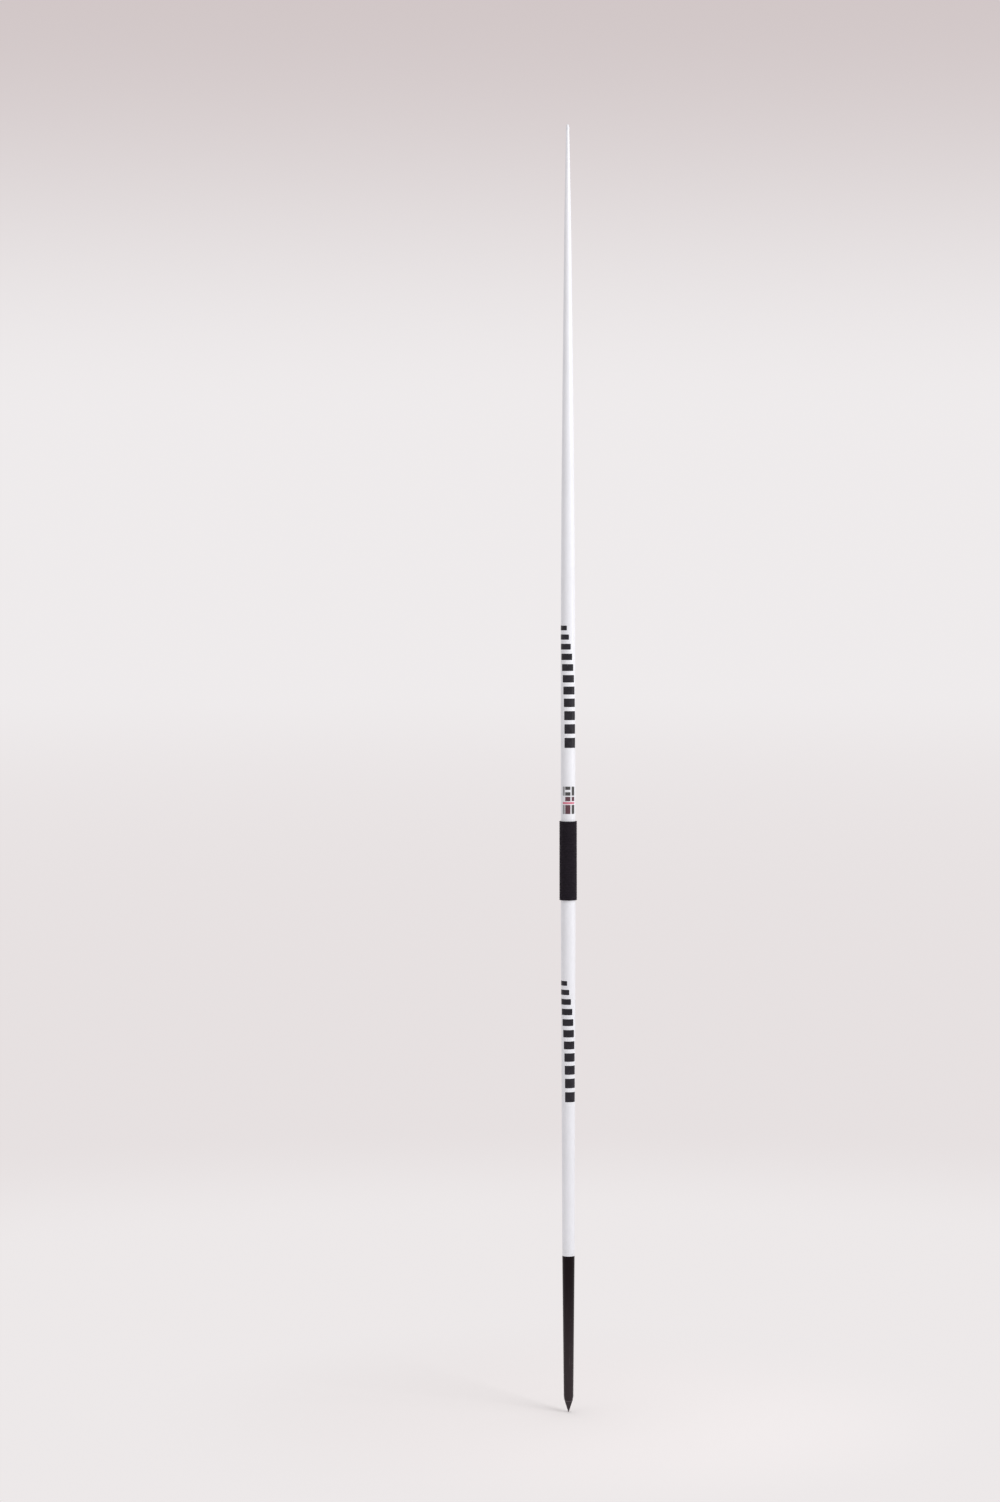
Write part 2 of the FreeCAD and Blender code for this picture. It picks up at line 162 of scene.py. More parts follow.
def soften(outline, reach):
    """The outline with every corner off the axis eased into a small curve."""
    eased = []
    for index, corner in enumerate(outline):
        before = outline[index - 1]
        after = outline[(index + 1) % len(outline)]
        if corner.x < reach:
            eased.append(corner)
            continue
        back = (before - corner).normalized()
        ahead = (after - corner).normalized()
        if abs(back.dot(ahead)) > math.cos(STRAIGHT_ANGLE):
            eased.append(corner)
            continue
        start = corner + back * min(reach, (before - corner).length * LARGEST_SOFT_SHARE)
        end = corner + ahead * min(reach, (after - corner).length * LARGEST_SOFT_SHARE)
        for step in range(SOFT_EDGE_STEPS + 1):
            t = step / SOFT_EDGE_STEPS
            eased.append(start.lerp(corner, t).lerp(corner.lerp(end, t), t))
    return eased


def divide(outline):
    """The outline with points added on its long stretches."""
    divided = []
    for index, point in enumerate(outline):
        before = outline[index - 1]
        parts = max(1, math.ceil((point - before).length / LONGEST_RING_GAP))
        divided.extend(before.lerp(point, step / parts) for step in range(1, parts + 1))
    return divided


def finished_object(name, vertices, faces):
    """An object made of the faces, smooth but for its real edges."""
    mesh = bpy.data.meshes.new(name)
    mesh.from_pydata(vertices, [], faces)
    work = bmesh.new()
    work.from_mesh(mesh)
    bmesh.ops.recalc_face_normals(work, faces=work.faces)
    work.to_mesh(mesh)
    work.free()
    mesh.shade_smooth()
    mesh.set_sharp_from_angle(angle=SHARP_ANGLE)
    piece = bpy.data.objects.new(name, mesh)
    bpy.context.scene.collection.objects.link(piece)
    return piece


def turned(name, corners, softness=EDGE_SOFTNESS):
    """A solid turned about the shaft's axis from a closed outline of (radius, height)."""
    outline = divide(soften([Vector(corner) for corner in corners], softness))
    vertices = []
    rings = []
    for point in outline:
        start = len(vertices)
        if point.x < ON_AXIS:
            vertices.append((0.0, 0.0, point.y))
            rings.append([start] * TURN_SIDES)
            continue
        for side in range(TURN_SIDES):
            azimuth = math.tau * side / TURN_SIDES
            vertices.append((point.x * math.cos(azimuth), point.x * math.sin(azimuth), point.y))
        rings.append(list(range(start, start + TURN_SIDES)))
    faces = []
    for index, ring in enumerate(rings):
        before = rings[index - 1]
        if before[0] == before[1] and ring[0] == ring[1]:
            continue
        for side in range(TURN_SIDES):
            following = (side + 1) % TURN_SIDES
            corners = [before[side], before[following], ring[following], ring[side]]
            faces.append(list(dict.fromkeys(corners)))
    return finished_object(name, vertices, faces)


def on_taper(height, low, low_radius, high, high_radius):
    """The radius at a height on a straight taper."""
    return low_radius + (high_radius - low_radius) * (height - low) / (high - low)


BELLY_DROP = SHAFT_RADIUS - BELLY_END_RADIUS
BELLY_CURVE = ((BELLY_END - FULL_END) ** 2 + BELLY_DROP ** 2) / (2 * BELLY_DROP)


def shaft_radius(height):
    """The painted shaft's radius at a height between the head and the rear taper."""
    if height < FULL_START:
        return on_taper(height, HEAD_REAR, HEAD_REAR_RADIUS, FULL_START, SHAFT_RADIUS)
    if height < FULL_END:
        return SHAFT_RADIUS
    return SHAFT_RADIUS - BELLY_CURVE + math.sqrt(BELLY_CURVE ** 2 - (height - FULL_END) ** 2)


def head_bore(height):
    """The inner radius of the head's tapered wall at a height."""
    shoulder = HEAD_FRONT + SHOULDER_LENGTH
    return on_taper(height, shoulder, SHOULDER_RADIUS, HEAD_REAR, HEAD_REAR_RADIUS) - HEAD_WALL


def belly_line(inset):
    """Points down the rear tube's curved stretch, from its level end to its last."""
    count = math.ceil((BELLY_END - FULL_END) / LONGEST_RING_GAP)
    heights = [FULL_END + (BELLY_END - FULL_END) * step / count for step in range(count + 1)]
    return [(shaft_radius(height) - inset, height) for height in heights]


def make_point():
    """The steel point: a rounded tip, a cone and the shank glued in the head."""
    tip = arc_points(Vector((0, 0)), Vector((TIP_REACH, TIP_REACH)), TIP_ROUNDING, ARC_STEPS)
    corners = [(0, 0)] + [tuple(point) for point in tip] + [
        (POINT_BASE_RADIUS, HEAD_FRONT),
        (SHANK_RADIUS, HEAD_FRONT),
        (SHANK_RADIUS, SHANK_REAR),
        (0, SHANK_REAR),
    ]
    return turned("point_steel", corners)


def make_head():
    """The head: a solid nose round the shank, a rounded shoulder and a thin wall."""
    bore = SHANK_RADIUS + BOND
    front = Vector((POINT_BASE_RADIUS, HEAD_FRONT))
    shoulder = Vector((SHOULDER_RADIUS, HEAD_FRONT + SHOULDER_LENGTH))
    curve = arc_points(front, shoulder, SHOULDER_ROUNDING, ARC_STEPS)
    corners = [(bore, HEAD_FRONT), tuple(front)] + [tuple(point) for point in curve] + [
        (HEAD_REAR_RADIUS, HEAD_REAR),
        (HEAD_REAR_RADIUS - HEAD_WALL, HEAD_REAR),
        (head_bore(SHANK_REAR), SHANK_REAR),
        (bore, SHANK_REAR),
    ]
    return turned("head_shell", corners)


def make_front_shaft():
    """The front tube, with its swaged spigot in the head and its turned-down grip seat."""
    spigot_front = head_bore(SPIGOT_FRONT) - BOND
    spigot_rear = HEAD_REAR_RADIUS - HEAD_WALL - BOND
    seat = TAPE_LOW - GRIP_HALF_RECESS
    return turned("shaft_front", [
        (spigot_front, SPIGOT_FRONT),
        (spigot_rear, HEAD_REAR),
        (HEAD_REAR_RADIUS, HEAD_REAR),
        (SHAFT_RADIUS, FULL_START),
        (SHAFT_RADIUS, seat),
        (RECESS_RADIUS, seat),
        (RECESS_RADIUS, JOINT),
        (SHAFT_RADIUS - FRONT_WALL, JOINT),
        (SHAFT_RADIUS - FRONT_WALL, FULL_START),
        (HEAD_REAR_RADIUS - FRONT_WALL, HEAD_REAR + FRONT_WALL),
        (spigot_rear - FRONT_WALL, HEAD_REAR),
        (spigot_front - FRONT_WALL, SPIGOT_FRONT),
    ])


def make_rear_shaft():
    """The rear tube, from the joint under the grip to the slender tail."""
    seat = TAPE_HIGH + GRIP_HALF_RECESS
    corners = [(RECESS_RADIUS, JOINT), (RECESS_RADIUS, seat), (SHAFT_RADIUS, seat)]
    corners += belly_line(0.0)
    corners += [
        (REAR_TAPER_RADIUS, REAR_TAPER_END),
        (TAIL_RADIUS, TAIL_END),
        (TAIL_RADIUS - REAR_WALL, TAIL_END),
        (REAR_TAPER_RADIUS - REAR_WALL, REAR_TAPER_END),
    ]
    corners += reversed(belly_line(REAR_WALL))
    corners += [(SHAFT_RADIUS - REAR_WALL, JOINT)]
    return turned("shaft_rear", corners)


def make_tail_cap():
    """The blunt moulded plug in the tail, with its stem."""
    rim = Vector((TAIL_RADIUS, TAIL_END))
    flat = Vector((TAIL_FLAT_RADIUS, PLUG_REAR))
    curve = arc_points(rim, flat, TAIL_ROUNDING, ARC_STEPS)
    corners = [
        (0, PLUG_FRONT),
        (TAIL_STEM_RADIUS, PLUG_FRONT),
        (TAIL_STEM_RADIUS, TAIL_END),
        tuple(rim),
    ]
    corners += [tuple(point) for point in curve] + [(0, PLUG_REAR)]
    return turned("tail_cap", corners)


def make_grip_tape():
    """The cloth tape under the cord, with a low step at each overlap of its wraps."""
    wraps = round((TAPE_HIGH - TAPE_LOW) / TAPE_WIDTH)
    width = (TAPE_HIGH - TAPE_LOW) / wraps
    corners = [(TAPE_INNER, TAPE_HIGH), (TAPE_INNER, TAPE_LOW)]
    for wrap in range(wraps):
        low = TAPE_LOW + width * wrap
        corners.append((TAPE_OUTER - TAPE_STEP, low))
        corners.append((TAPE_OUTER, low + width - TAPE_STEP))
    corners.append((TAPE_OUTER, TAPE_HIGH))
    return turned("grip_tape", corners, TAPE_STEP / 2)


def winding(angles):
    """Places on the cord's path. Angles run on in radians from the start of row 0."""
    turns = angles / math.tau
    row = np.floor(turns)
    climb = np.clip((turns - row - (1 - CLIMB_SHARE)) / CLIMB_SHARE, 0, 1)
    rise = np.where(climb < 0.5, 2 * climb ** 2, 1 - 2 * (1 - climb) ** 2)
    azimuth = angles + ROW_START
    pitch = (TAPE_HIGH - TAPE_LOW) / (2 * TURNS_PER_CORD - 1)
    height = TAPE_LOW + pitch * (row + rise)
    return np.stack([CORD_PATH_RADIUS * np.cos(azimuth),
                     CORD_PATH_RADIUS * np.sin(azimuth), height], axis=1)


def unit(vectors):
    """The vectors with their lengths made 1."""
    return vectors / np.linalg.norm(vectors, axis=1, keepdims=True)


def make_grip_cord(name, start, end):
    """One length of cord of three twisted strands, between two angles of the winding."""
    length = (end - start) * CORD_PATH_RADIUS
    steps = math.ceil(length / STRAND_LAY * STEPS_PER_LAY)
    angles = np.linspace(start, end, steps)
    path = winding(angles)
    run = unit(np.gradient(path, axis=0))
    outward = unit(path * (1, 1, 0))
    along_axis = np.cross(run, outward)
    vertices = []
    faces = []
    lays = []
    sides = np.arange(STRAND_SIDES) * math.tau / STRAND_SIDES
    for strand in range(STRAND_COUNT):
        twist = angles * CORD_PATH_RADIUS / STRAND_LAY * math.tau
        twist = (twist + math.tau * strand / STRAND_COUNT)[:, None]
        offset = outward * np.cos(twist) * (CORD_HALF_THICKNESS - STRAND_RADIUS)
        offset += along_axis * np.sin(twist) * (CORD_HALF_WIDTH - STRAND_RADIUS)
        centre = path + offset
        heading = unit(np.gradient(centre, axis=0))
        across = unit(np.cross(heading, outward))
        normal = np.cross(across, heading)
        first = len(vertices)
        for index in range(steps):
            radius = STRAND_RADIUS * (STRAND_END_SHARE if index in (0, steps - 1) else 1.0)
            ring = centre[index] + radius * (np.outer(np.cos(sides), normal[index])
                                             + np.outer(np.sin(sides), across[index]))
            vertices.extend(map(tuple, ring))
        for index in range(steps - 1):
            here = first + index * STRAND_SIDES
            for side in range(STRAND_SIDES):
                following = (side + 1) % STRAND_SIDES
                faces.append((here + side, here + following,
                              here + STRAND_SIDES + following, here + STRAND_SIDES + side))
                lays.extend(((index, side), (index, side + 1),
                             (index + 1, side + 1), (index + 1, side)))
        last = first + (steps - 1) * STRAND_SIDES
        for ring, index in ((first, 0), (last, steps - 1)):
            faces.append(tuple(range(ring, ring + STRAND_SIDES)))
            lays.extend((index, side) for side in range(STRAND_SIDES))
    mesh = bpy.data.meshes.new(name)
    mesh.from_pydata(vertices, [], faces)
    layer = mesh.uv_layers.new(name="lay")
    places = np.array(lays, float) * (length / steps / YARN_LAY, 1 / STRAND_SIDES)
    layer.data.foreach_set("uv", places.astype(np.float32).ravel())
    mesh.shade_smooth()
    cord = bpy.data.objects.new(name, mesh)
    bpy.context.scene.collection.objects.link(cord)
    return cord


def film_faces(low, high, azimuth, span, corner, lift, thickness, start):
    """Vertices and faces of a thin film on the shaft with rounded corners."""
    half = span * SHAFT_RADIUS / 2
    edge = [corner * (1 - math.cos(math.pi / 2 * step / ARC_STEPS)) for step in range(ARC_STEPS)]
    middle_count = max(2, math.ceil((half - corner) * 2 / MM))
    middle = [-half + corner + (half - corner) * 2 * step / middle_count
              for step in range(middle_count + 1)]
    columns = [-half + d for d in edge] + middle + [half - d for d in reversed(edge)]
    vertices = []
    for place in columns:
        reach = max(0.0, corner - (half - abs(place)))
        inset = corner - math.sqrt(max(0.0, corner ** 2 - reach ** 2))
        turn = azimuth + place / SHAFT_RADIUS
        for height in (low + inset, high - inset):
            for depth in (lift + thickness, lift):
                radius = shaft_radius(height) + depth
                vertices.append((radius * math.cos(turn), radius * math.sin(turn), height))
    faces = []
    for column in range(len(columns) - 1):
        here = start + column * 4
        there = here + 4
        faces.append((here, there, there + 2, here + 2))
        faces.append((here + 1, here + 3, there + 3, there + 1))
        faces.append((here, here + 1, there + 1, there))
        faces.append((here + 2, there + 2, there + 3, here + 3))
    last = start + (len(columns) - 1) * 4
    faces.append((start, start + 2, start + 3, start + 1))
    faces.append((last, last + 1, last + 3, last + 2))
    return vertices, faces


def make_films(name, patches, corner, lift, thickness):
    """One piece made of several thin films: (low, high, azimuth, span) each."""
    vertices = []
    faces = []
    for low, high, azimuth, span in patches:
        more = film_faces(low, high, azimuth, span, corner, lift, thickness, len(vertices))
        vertices += more[0]
        faces += more[1]
    return finished_object(name, vertices, faces)


def stripe_patches(low):
    """The stripes of one set, which shorten and drift round the shaft as they rise."""
    patches = []
    for index in range(STRIPE_COUNT):
        part = index / (STRIPE_COUNT - 1)
        length = STRIPE_MEAN * (1 + STRIPE_SHRINK * (1 - 2 * part))
        drift = part ** STRIPE_DRIFT_POWER
        azimuth = STRIPE_FIRST_AZIMUTH + drift * (STRIPE_LAST_AZIMUTH - STRIPE_FIRST_AZIMUTH)
        patches.append((low, low + length, azimuth, STRIPE_SPAN))
        low += length + STRIPE_GAP
    return patches


def label_patch(bottom, top, left, right):
    """A block on the label, from shares of its height and degrees from the front."""
    height = LABEL_HIGH - LABEL_LOW
    azimuth = math.radians((left + right) / 2 + FRONT_DEGREES)
    return (LABEL_LOW + height * bottom, LABEL_LOW + height * top,
            azimuth, math.radians(right - left))


class Surface:
    """A node material under construction, with short calls for its parts."""

    def __init__(self, name, **fixed):
        self.material = bpy.data.materials.new(name)
        self.material.use_nodes = True
        self.nodes = self.material.node_tree.nodes
        self.links = self.material.node_tree.links
        self.shader = self.nodes["Principled BSDF"]
        for socket, value in fixed.items():
            self.shader.inputs[socket.replace("_", " ")].default_value = value
        self.place = self.nodes.new("ShaderNodeTexCoord").outputs["Object"]

    def add(self, kind, inputs, **settings):
        """A node with its settings, and with each input a number or another socket."""
        node = self.nodes.new(kind)
        for setting, value in settings.items():
            setattr(node, setting, value)
        for key, value in inputs.items():
            if isinstance(value, bpy.types.NodeSocket):
                self.links.new(value, node.inputs[key])
            else:
                node.inputs[key].default_value = value
        return node

    def give(self, socket, value):
        """Lead a value to a socket of the shader."""
        self.links.new(value, self.shader.inputs[socket])

    def stretched(self, across, along):
        """The place scaled across the shaft and along it."""
        return self.add("ShaderNodeMapping", {
            "Vector": self.place, "Scale": (across, across, along)}).outputs[0]

    def noise(self, scale, detail=2.0, roughness=0.5, vector=None):
        """A noise pattern from 0 to 1. Its scale is in cells per metre of the place."""
        return self.add("ShaderNodeTexNoise", {
            "Vector": vector or self.place, "Scale": scale,
            "Detail": detail, "Roughness": roughness}).outputs["Fac"]

    def spread(self, value, low, high, to_low=0.0, to_high=1.0):
        """The value mapped smoothly from one range to another and kept inside it."""
        return self.add("ShaderNodeMapRange", {
            "Value": value, "From Min": low, "From Max": high,
            "To Min": to_low, "To Max": to_high},
            interpolation_type="SMOOTHSTEP").outputs[0]

    def maths(self, operation, *values):
        """One operation on numbers or sockets."""
        return self.add("ShaderNodeMath", dict(enumerate(values)),
                        operation=operation).outputs[0]

    def blend(self, share, first, second):
        """Two colours mixed by a share from 0 to 1."""
        return self.add("ShaderNodeMix", {0: share, 6: first, 7: second},
                        data_type="RGBA").outputs[2]

    def height(self):
        """The height above the tip."""
        return self.add("ShaderNodeSeparateXYZ", {0: self.place}).outputs[2]

    def bump(self, height, depth, under=None):
        """Fine relief that is as deep as depth where height is 1, laid on another relief."""
        inputs = {"Height": height, "Distance": depth}
        if under:
            inputs["Normal"] = under
        return self.add("ShaderNodeBump", inputs).outputs[0]


def grey(level, tint=(1.0, 1.0, 1.0)):
    """A grey of a level from 0 to 1, with a tint."""
    return (level * tint[0], level * tint[1], level * tint[2], 1.0)


# Tints of the paint, head, cord, stripe ink and soil, and of the head's and cord's gloss.
COOL = (0.935, 0.948, 1.0)
WARM = (1.0, 0.84, 0.90)
PURPLE = (1.0, 0.82, 1.12)
VIOLET = (1.0, 0.92, 1.35)
SOIL = (1.0, 0.93, 0.86)
ROSE_GLOSS = (1.0, 0.72, 0.80)
VIOLET_GLOSS = (1.0, 0.86, 1.0)

# How far soil, the bright tip and the rim's wear and painted highlight reach, and the threads of
# the tape.
SOIL_REACH = 60 * MM
BRIGHT_TIP = 9 * MM
RIM_WEAR_AND_HIGHLIGHT = 1.6 * MM
THREADS_ROUND = 190.0
THREAD_PITCH = 0.5 * MM


def white_paint():
    """Gloss paint: faint orange peel, fine dust and a few long thin scuffs."""
    paint = Surface("white_gloss_paint", Coat_Weight=0.25, Coat_Roughness=0.12)
    dust = paint.spread(paint.noise(7.0, 6.0, 0.6), 0.42, 0.72)
    streaks = paint.noise(1.0, 5.0, 0.6, paint.stretched(420.0, 11.0))
    scuffs = paint.spread(streaks, 0.66, 0.74)
    rubbed = paint.spread(paint.noise(34.0, 3.0), 0.56, 0.68)
    scuffs = paint.maths("MULTIPLY", scuffs, rubbed)
    soil = paint.spread(paint.height(), HEAD_REAR, HEAD_REAR + SOIL_REACH, 1.0, 0.0)
    soil = paint.maths("MULTIPLY", soil, paint.spread(paint.noise(260.0, 5.0, 0.65), 0.55, 0.75))
    clean = paint.blend(dust, grey(0.885, COOL), grey(0.850, COOL))
    specks = paint.spread(paint.noise(1300.0, 2.0), 0.69, 0.74)
    dusted = paint.blend(specks, clean, grey(0.66, SOIL))
    worn = paint.blend(scuffs, dusted, grey(0.70, COOL))
    paint.give("Base Color", paint.blend(soil, worn, grey(0.62, SOIL)))
    patchy = paint.maths("MULTIPLY", dust, 0.10)
    rough = paint.maths("ADD", patchy, paint.maths("MULTIPLY", scuffs, 0.25))
    paint.give("Roughness", paint.maths("ADD", rough, 0.30))
    peel = paint.bump(paint.noise(620.0, 2.0), 0.012 * MM)
    paint.give("Normal", paint.bump(scuffs, -0.02 * MM, peel))
    return paint.material


def black_head_coat():
    """Black coating on steel: fine grain, lighter towards the front end, partly worn by the
    ground and partly a painted reflection of the floor.
    """
    coat = Surface("black_head_coat", Specular_IOR_Level=0.17,
                   Specular_Tint=grey(1.0, ROSE_GLOSS))
    nose_wear_and_reflection = coat.spread(coat.height(), HEAD_FRONT, HEAD_REAR, 1.0, 0.0)
    scratches = coat.noise(1.0, 6.0, 0.62, coat.stretched(520.0, 16.0))
    scratched = coat.spread(scratches, 0.58, 0.74)
    scratched = coat.maths("MULTIPLY", scratched, nose_wear_and_reflection)
    mottled = coat.spread(coat.noise(90.0, 5.0, 0.6), 0.35, 0.7)
    base = coat.blend(mottled, grey(0.0015, WARM), grey(0.003, WARM))
    # Lighter towards the front end: partly wear by the ground, partly a painted reflection of
    # the floor.
    paler = coat.blend(nose_wear_and_reflection, base, grey(0.032, WARM))
    coat.give("Base Color", coat.blend(scratched, paler, grey(0.085, WARM)))
    coat.give("Roughness", coat.maths("MULTIPLY_ADD", mottled, 0.08, 0.28))
    grain = coat.bump(coat.noise(1900.0, 3.0), 0.012 * MM)
    coat.give("Normal", coat.bump(scratches, 0.02 * MM, grain))
    return coat.material


def blackened_steel():
    """The point: dark hardened steel with turning marks, rubbed bright at the tip; its rim is
    lighter from wear and a painted highlight.
    """
    steel = Surface("blackened_steel", Metallic=0.85)
    rings = steel.noise(1.0, 3.0, 0.5, steel.stretched(30.0, 5200.0))
    pits = steel.spread(steel.noise(1500.0, 4.0, 0.6), 0.56, 0.72)
    bright = steel.spread(steel.height(), 0.0, BRIGHT_TIP, 0.8, 0.0)
    # The rim under the head is lighter: partly worn metal, partly a painted highlight; rubbed
    # carries both with the tip's wear.
    rim = steel.spread(steel.height(), HEAD_FRONT - RIM_WEAR_AND_HIGHLIGHT, HEAD_FRONT, 0.0, 0.7)
    rubbed = steel.maths("MAXIMUM", bright, rim)
    rubbed = steel.maths("MULTIPLY", rubbed, steel.spread(rings, 0.3, 0.6, 0.5, 1.0))
    dark = steel.blend(pits, grey(0.050, WARM), grey(0.022, WARM))
    steel.give("Base Color", steel.blend(rubbed, dark, grey(0.22, WARM)))
    steel.give("Roughness", steel.spread(pits, 0.0, 1.0, 0.30, 0.52))
    turned_marks = steel.bump(rings, 0.006 * MM)
    steel.give("Normal", steel.bump(pits, -0.02 * MM, turned_marks))
    return steel.material


def white_plastic():
    """The tail plug: moulded plastic with a fine matt grain and handling marks."""
    plastic = Surface("white_moulded_plastic", Specular_IOR_Level=0.45)
    grain = plastic.noise(2400.0, 3.0)
    marks = plastic.spread(plastic.noise(300.0, 5.0, 0.65), 0.55, 0.72)
    plastic.give("Base Color", plastic.blend(marks, grey(0.84, COOL), grey(0.72, COOL)))
    plastic.give("Roughness", plastic.spread(grain, 0.3, 0.7, 0.38, 0.52))
    plastic.give("Normal", plastic.bump(grain, 0.01 * MM))
    return plastic.material


def black_cord():
    """Twisted black cord: yarns laid round each strand, painted shade in the grooves between
    them, and a light fibre sheen.
    """
    cord = Surface("black_twisted_cord", Sheen_Weight=0.10, Sheen_Roughness=0.45,
                   Sheen_Tint=grey(0.6, PURPLE), Specular_IOR_Level=0.12,
                   Specular_Tint=grey(1.0, VIOLET_GLOSS))
    lay = cord.add("ShaderNodeUVMap", {}, uv_map="lay").outputs[0]
    parts = cord.add("ShaderNodeSeparateXYZ", {0: lay})
    around = cord.maths("MULTIPLY", parts.outputs[1], YARNS_PER_STRAND)
    phase = cord.maths("MULTIPLY", cord.maths("SUBTRACT", around, parts.outputs[0]), math.tau)
    yarns = cord.spread(cord.maths("SINE", phase), -1.0, 1.0)
    fibres = cord.noise(5200.0, 3.0, 0.6)
    handled = cord.spread(cord.noise(60.0, 4.0), 0.4, 0.7)
    # Darker in the grooves between yarns: painted shade.
    dark = cord.blend(yarns, grey(0.008, PURPLE), grey(0.020, PURPLE))
    fuzzy = cord.blend(cord.spread(fibres, 0.45, 0.8), dark, grey(0.034, PURPLE))
    cord.give("Base Color", cord.blend(handled, fuzzy, grey(0.017, PURPLE)))
    cord.give("Roughness", cord.spread(fibres, 0.2, 0.8, 0.40, 0.60))
    laid = cord.bump(yarns, 0.09 * MM)
    cord.give("Normal", cord.bump(fibres, 0.03 * MM, laid))
    return cord.material


def black_tape():
    """Cloth tape: a plain weave of fine threads under a rubbery coat, with painted shade between
    the threads.
    """
    tape = Surface("black_cloth_tape", Specular_IOR_Level=0.35)
    parts = tape.add("ShaderNodeSeparateXYZ", {0: tape.place})
    azimuth = tape.maths("ARCTAN2", parts.outputs[1], parts.outputs[0])
    warp = tape.maths("SINE", tape.maths("MULTIPLY", azimuth, THREADS_ROUND))
    along = tape.maths("MULTIPLY", parts.outputs[2], math.tau / THREAD_PITCH)
    weft = tape.maths("SINE", along)
    weave = tape.spread(tape.maths("MULTIPLY", warp, weft), -1.0, 1.0)
    lint = tape.spread(tape.noise(900.0, 5.0, 0.65), 0.55, 0.75)
    # Darker where the weave lies low: painted shade between the threads.
    dark = tape.blend(weave, grey(0.008), grey(0.020))
    tape.give("Base Color", tape.blend(lint, dark, grey(0.045, WARM)))
    tape.give("Roughness", tape.spread(weave, 0.0, 1.0, 0.58, 0.72))
    tape.give("Normal", tape.bump(weave, 0.04 * MM))
    return tape.material


def stripe_film():
    """Dark printed film: smooth, with pinholes and rubbed spots that show white."""
    film = Surface("dark_stripe_film", Specular_IOR_Level=0.28)
    wear = film.noise(1.0, 5.0, 0.62, film.stretched(900.0, 160.0))
    worn = film.spread(wear, 0.70, 0.76)
    cloudy = film.spread(film.noise(120.0, 4.0), 0.35, 0.7)
    ink = film.blend(cloudy, grey(0.010, VIOLET), grey(0.018, VIOLET))
    film.give("Base Color", film.blend(worn, ink, grey(0.42, COOL)))
    film.give("Roughness", film.spread(cloudy, 0.0, 1.0, 0.30, 0.42))
    film.give("Normal", film.bump(wear, 0.008 * MM))
    return film.material


def label_film():
    """The label's own film: clear-coated white with a faint emboss and dust."""
    film = Surface("label_white_film", Coat_Weight=0.3, Coat_Roughness=0.2)
    dust = film.spread(film.noise(160.0, 5.0, 0.6), 0.45, 0.75)
    film.give("Base Color", film.blend(dust, grey(0.86, COOL), grey(0.79, COOL)))
    film.give("Roughness", film.spread(dust, 0.0, 1.0, 0.30, 0.42))
    film.give("Normal", film.bump(film.noise(800.0, 2.0), 0.006 * MM))
    return film.material


def printed_ink(name, full, thin):
    """Ink on the label, uneven as a screen print is."""
    ink = Surface(name, Specular_IOR_Level=0.45)
    grain = ink.noise(1400.0, 4.0, 0.65)
    speckle = ink.spread(grain, 0.42, 0.72)
    ink.give("Base Color", ink.blend(speckle, full, thin))
    ink.give("Roughness", ink.spread(grain, 0.3, 0.7, 0.34, 0.46))
    ink.give("Normal", ink.bump(grain, 0.005 * MM))
    return ink.material


def turned_metal(name, pale, dark):
    """Bare metal of the inner parts: lathe marks round it and a dull film in places."""
    metal = Surface(name, Metallic=1.0)
    rings = metal.noise(1.0, 3.0, 0.5, metal.stretched(24.0, 3600.0))
    dull = metal.spread(metal.noise(140.0, 5.0, 0.6), 0.4, 0.7)
    metal.give("Base Color", metal.blend(dull, pale, dark))
    metal.give("Roughness", metal.spread(dull, 0.0, 1.0, 0.26, 0.46))
    metal.give("Normal", metal.bump(rings, 0.01 * MM))
    return metal.material


def dress(piece, material, slot, *nodes):
    """Give a piece its material, its body and the solids it stands for; slot is not used."""
    piece.data.materials.clear()
    piece.data.materials.append(material)
    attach(piece, "root")
    if nodes:
        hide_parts(*nodes)


def make_pieces():
    """Every visible piece of the javelin."""
    paint = white_paint()
    cord = black_cord()
    stripes = stripe_film()
    dress(make_point(), blackened_steel(), "hardened_steel", "point")
    dress(make_head(), black_head_coat(), "black_steel", "head_sleeve")
    dress(make_front_shaft(), paint, "white_alloy", "front_tube")
    dress(make_rear_shaft(), paint, "white_alloy", "rear_tube")
    dress(make_tail_cap(), white_plastic(), "white_plastic", "tail_plug")
    dress(make_grip_tape(), black_tape(), "black_tape", "grip_underlay")

    last_angle = math.tau * (2 * TURNS_PER_CORD - CLIMB_SHARE)
    meeting = math.tau * (TURNS_PER_CORD - CLIMB_SHARE / 2)
    half_gap = CORD_BUTT_GAP / 2 / CORD_PATH_RADIUS
    tail = CORD_TAIL / CORD_PATH_RADIUS
    front_cord = make_grip_cord("grip_cord_front", -tail, meeting - half_gap)
    rear_cord = make_grip_cord("grip_cord_rear", meeting + half_gap, last_angle + tail)
    dress(front_cord, cord, "black_cord", "front_grip_cord")
    dress(rear_cord, cord, "black_cord", "rear_grip_cord")

    for name, low, node in (("stripes_front", FRONT_STRIPES_LOW, "front_stripes"),
                            ("stripes_rear", REAR_STRIPES_LOW, "rear_stripes")):
        films = make_films(name, stripe_patches(low), STRIPE_CORNER, FILM_LIFT, FILM_THICKNESS)
        dress(films, stripes, "black_film", node)

    sheet = make_films("label_sheet", [(LABEL_LOW, LABEL_HIGH, LABEL_AZIMUTH, LABEL_SPAN)],
                       LABEL_CORNER, FILM_LIFT, FILM_THICKNESS)
    dress(sheet, label_film(), "label_film", "class_label")
    make_label_prints()
    bare_alloy = turned_metal("bare_turned_alloy", grey(0.66, COOL), grey(0.50, COOL))
    brass = turned_metal("turned_brass", (0.74, 0.55, 0.24, 1.0), (0.52, 0.36, 0.15, 1.0))
    for node, material in (("splice_sleeve", bare_alloy), ("balance_weight", brass)):
        NODES[node].data.materials.clear()
        NODES[node].data.materials.append(material)


